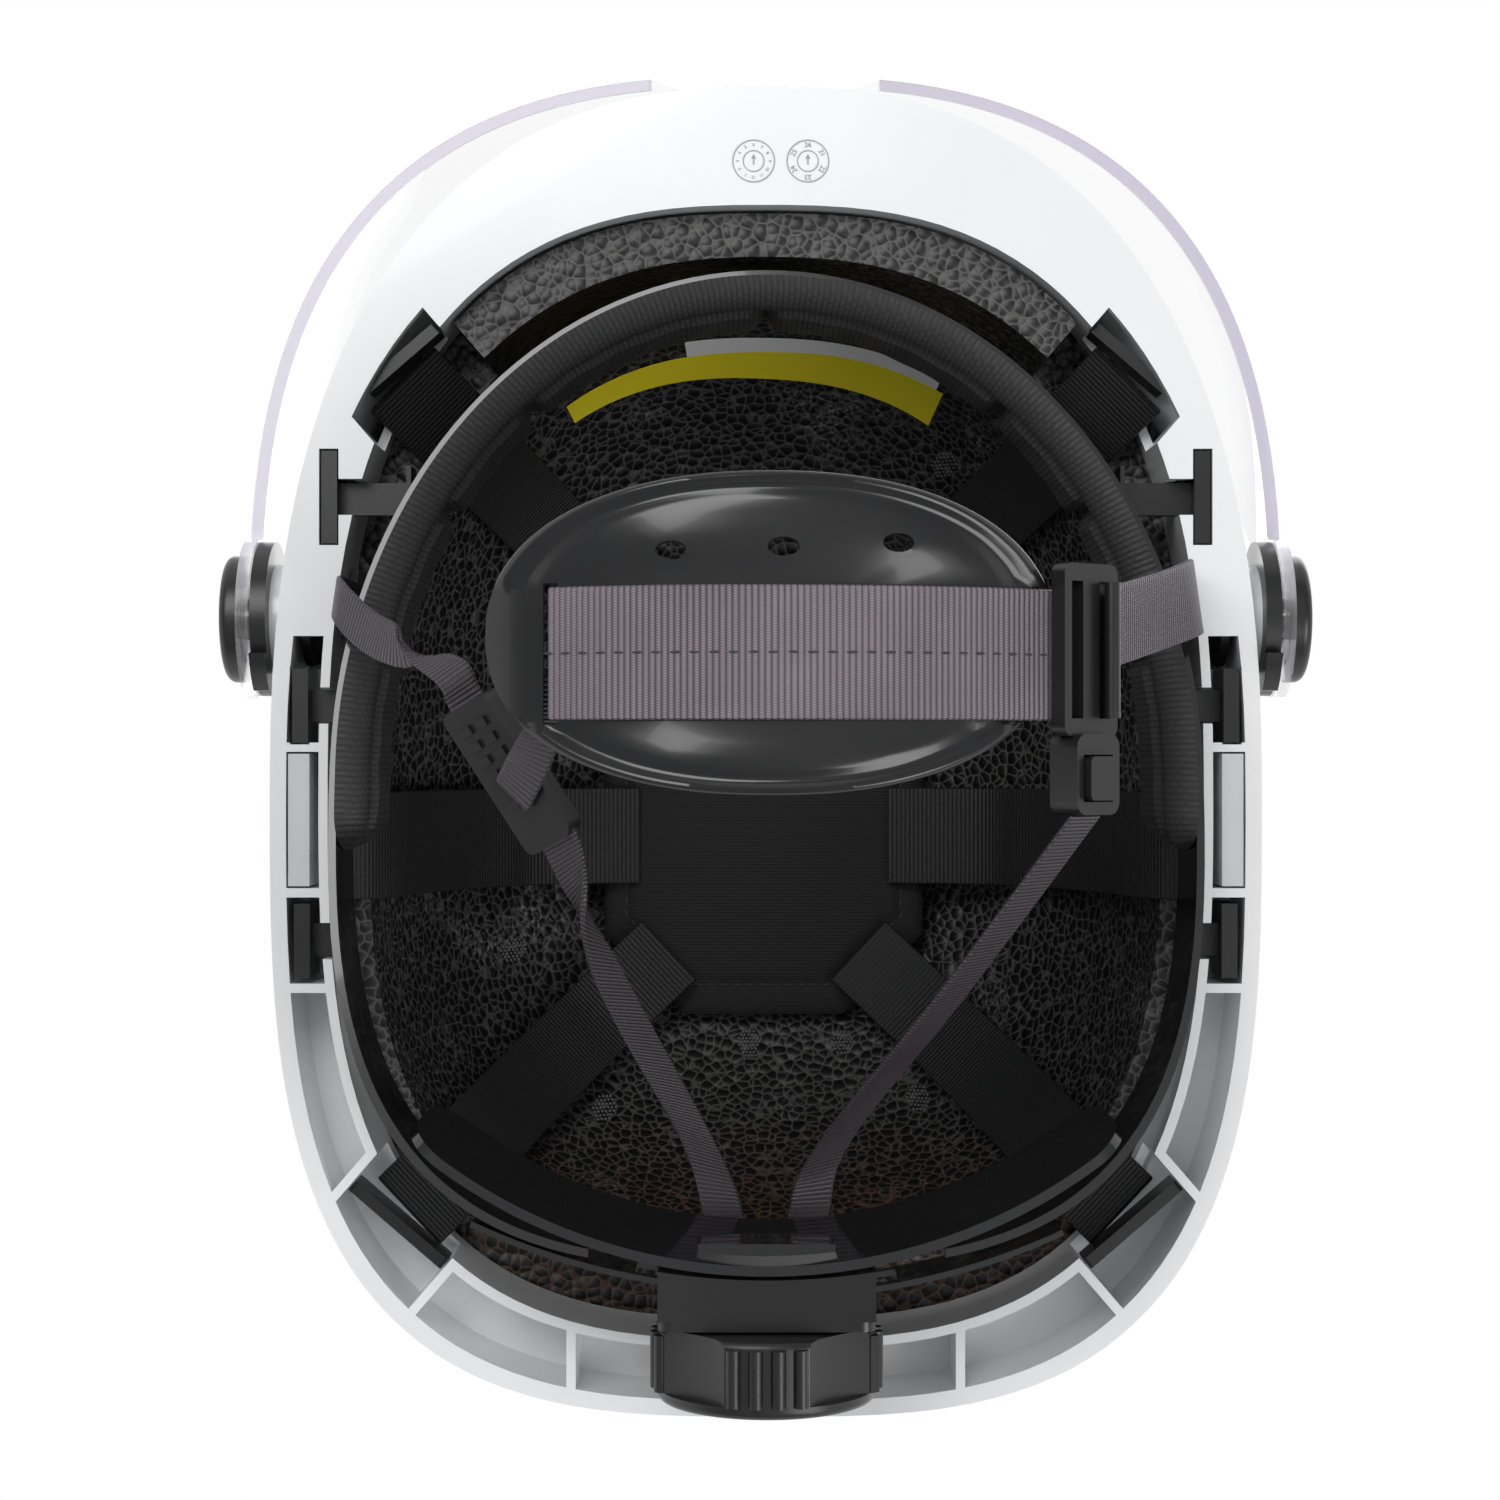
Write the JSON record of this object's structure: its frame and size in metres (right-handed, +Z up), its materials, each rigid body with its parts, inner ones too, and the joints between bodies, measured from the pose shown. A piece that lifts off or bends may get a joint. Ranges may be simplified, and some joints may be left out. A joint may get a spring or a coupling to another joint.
{
  "type": "hard hat",
  "caption": "Climbing-style hard hat with a short brim, flip-up clear visor, foam liner, ratchet headband and chin strap with a cup.",
  "frame": {"origin": "on the mid-plane, level with the lower rim, in the middle of the shell's length, where the hat sits on a head", "axes": "+Z up through the crown, -Y towards the front, +X towards the wearer's left"},
  "size_m": [0.237, 0.2943, 0.2385],
  "materials": {
    "shell_white": "smooth glossy ABS, white",
    "foam_black": "moulded bead foam",
    "band_black": "glossy thin polypropylene",
    "pad_fabric": "ribbed mesh over foam",
    "crown_fabric": "fine knit over foam",
    "webbing_black": "woven webbing, ribbed",
    "webbing_mauve": "woven webbing with a sheen",
    "hardware_black": "moulded nylon, fine grain",
    "cup_rubber": "soft glossy elastomer",
    "clear_visor": "clear polycarbonate",
    "clear_plug": "frosted clear polycarbonate",
    "steel": "zinc-plated steel"
  },
  "bodies": {
    "hat": {"outer_shell": "shell_white", "impact_liner": "foam_black", "headband": "band_black", "brow_pad": "pad_fabric", "crown_pad": "crown_fabric", "nape_support": "band_black", "ratchet_housing": "hardware_black", "ratchet_cover": "hardware_black", "chin_cup": "cup_rubber", "chin_webbing": "webbing_mauve", "chin_webbing_tail": "webbing_mauve", "buckle_frame": "hardware_black", "buckle_bar": "hardware_black", "strap_slider": "hardware_black", "side_strap_left": "webbing_mauve", "side_strap_right": "webbing_mauve", "rear_strap_left": "webbing_mauve", "rear_strap_right": "webbing_mauve", "rear_strap_anchor": "hardware_black", "crown_strap_front_left": "webbing_black", "crown_strap_side_left": "webbing_black", "crown_strap_rear_left": "webbing_black", "strap_key_front_left": "hardware_black", "strap_key_rear_left": "hardware_black", "headband_hanger_front_left": "hardware_black", "headband_hanger_middle_left": "hardware_black", "headband_hanger_rear_left": "hardware_black", "visor_base_left": "hardware_black", "pivot_nut_left": "hardware_black", "pivot_cap_left": "hardware_black", "strap_anchor_left": "hardware_black", "pivot_washer_left": "hardware_black", "pivot_bolt_left": "steel", "crown_strap_front_right": "webbing_black", "crown_strap_side_right": "webbing_black", "crown_strap_rear_right": "webbing_black", "strap_key_front_right": "hardware_black", "strap_key_rear_right": "hardware_black", "headband_hanger_front_right": "hardware_black", "headband_hanger_middle_right": "hardware_black", "headband_hanger_rear_right": "hardware_black", "visor_base_right": "hardware_black", "pivot_nut_right": "hardware_black", "pivot_cap_right": "hardware_black", "strap_anchor_right": "hardware_black", "pivot_washer_right": "hardware_black", "pivot_bolt_right": "steel"},
    "visor_body": {"visor": "clear_visor"},
    "knob_body": {"adjuster_knob": "hardware_black", "ratchet_pinion": "hardware_black", "knob_screw": "steel"},
    "rack_left_body": {"rack_left": "band_black"},
    "rack_right_body": {"rack_right": "band_black"},
    "plug_left_body": {"slot_plug_left": "clear_plug"},
    "plug_right_body": {"slot_plug_right": "clear_plug"},
    "button_body": {"buckle_button": "hardware_black"}
  },
  "joints": [
    {"name": "visor_hinge", "type": "hinge", "parent": "hat", "child": "visor_body", "pos_m": [0, -0.0323, 0.015], "axis": [1, 0, 0], "range_deg": [0, 52]},
    {"name": "knob_turn", "type": "hinge", "parent": "hat", "child": "knob_body", "pos_m": [0, 0.12, -0.028], "axis": [0, 1, 0], "range_deg": [-100, 220]},
    {"name": "rack_right_travel", "type": "hinge", "parent": "hat", "child": "rack_right_body", "pos_m": [0, -0.0355, -0.028], "axis": [0, 0, -1], "range_deg": [-3.42, 7.47]},
    {"name": "rack_left_travel", "type": "hinge", "parent": "hat", "child": "rack_left_body", "pos_m": [0, -0.0355, -0.028], "axis": [0, 0, 1], "range_deg": [-3.38, 7.38]},
    {"name": "slot_plug_left_pull", "type": "slide", "parent": "hat", "child": "plug_left_body", "axis": [0, 0, -1], "range_m": [0, 0.02]},
    {"name": "slot_plug_right_pull", "type": "slide", "parent": "hat", "child": "plug_right_body", "axis": [0, 0, -1], "range_m": [0, 0.02]},
    {"name": "buckle_press", "type": "slide", "parent": "hat", "child": "button_body", "axis": [-0.6626, 0, 0.749], "range_m": [0, 0.0012], "stiffness_N_per_m": 600}
  ],
  "couplings": [
    {"joint": "rack_right_travel", "follows": "knob_turn", "ratio": 0.033719},
    {"joint": "rack_left_travel", "follows": "knob_turn", "ratio": 0.033343}
  ]
}
